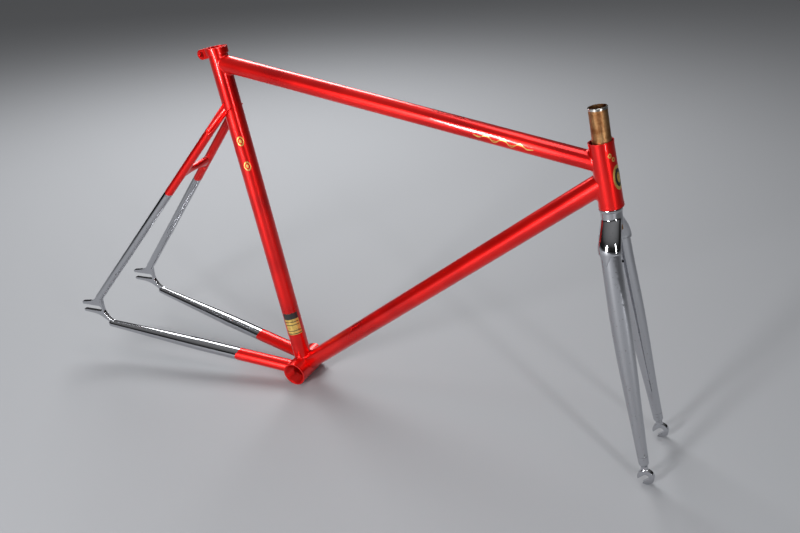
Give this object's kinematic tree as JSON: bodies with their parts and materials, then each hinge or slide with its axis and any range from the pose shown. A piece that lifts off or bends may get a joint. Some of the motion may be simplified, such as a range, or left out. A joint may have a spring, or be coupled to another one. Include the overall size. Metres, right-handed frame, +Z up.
{
  "type": "bicycle frameset",
  "caption": "Bare fillet-brazed steel bicycle frame with rear-facing axle slots, and its steel fork standing loose in the head tube, free to turn.",
  "frame": {"origin": "centre of the bottom bracket shell", "axes": "+X forward along the floor, +Y to the rider's left along the bottom bracket axis, +Z up; the frameset stands on the shell and both fork ends, so its nose is a few degrees down from the riding position"},
  "size_m": [1.0325, 0.139, 0.5617],
  "materials": {
    "red_paint": "gloss metallic red enamel",
    "stay_finish": "polished chrome with the upper or front part painted red",
    "chrome": "polished",
    "bare_steel": "drawn tube with a thin brown oxide"
  },
  "bodies": {
    "frame": {"head_tube": "red_paint", "top_tube": "red_paint", "down_tube": "red_paint", "seat_tube": "red_paint", "seat_collar": "red_paint", "bottom_bracket_shell": "red_paint", "seatstay_cap_right": "red_paint", "seatstay_cap_left": "red_paint", "seatstay_bridge": "red_paint", "braze_head_top": "red_paint", "braze_head_down": "red_paint", "braze_seat_top": "red_paint", "braze_seat_shell": "red_paint", "chainstay_right": "stay_finish", "chainstay_left": "stay_finish", "seatstay_right": "stay_finish", "seatstay_left": "stay_finish", "rear_dropout_right": "chrome", "rear_dropout_left": "chrome"},
    "fork": {"steerer_tube": "bare_steel", "fork_crown": "chrome", "fork_blade_right": "chrome", "fork_blade_left": "chrome", "fork_end_right": "chrome", "fork_end_left": "chrome"}
  },
  "joints": [
    {"name": "steering", "type": "hinge", "parent": "frame", "child": "fork", "pos_m": [0.5085, 0, 0.41357], "axis": [-0.1702, 0, 0.9854], "continuous": true}
  ]
}
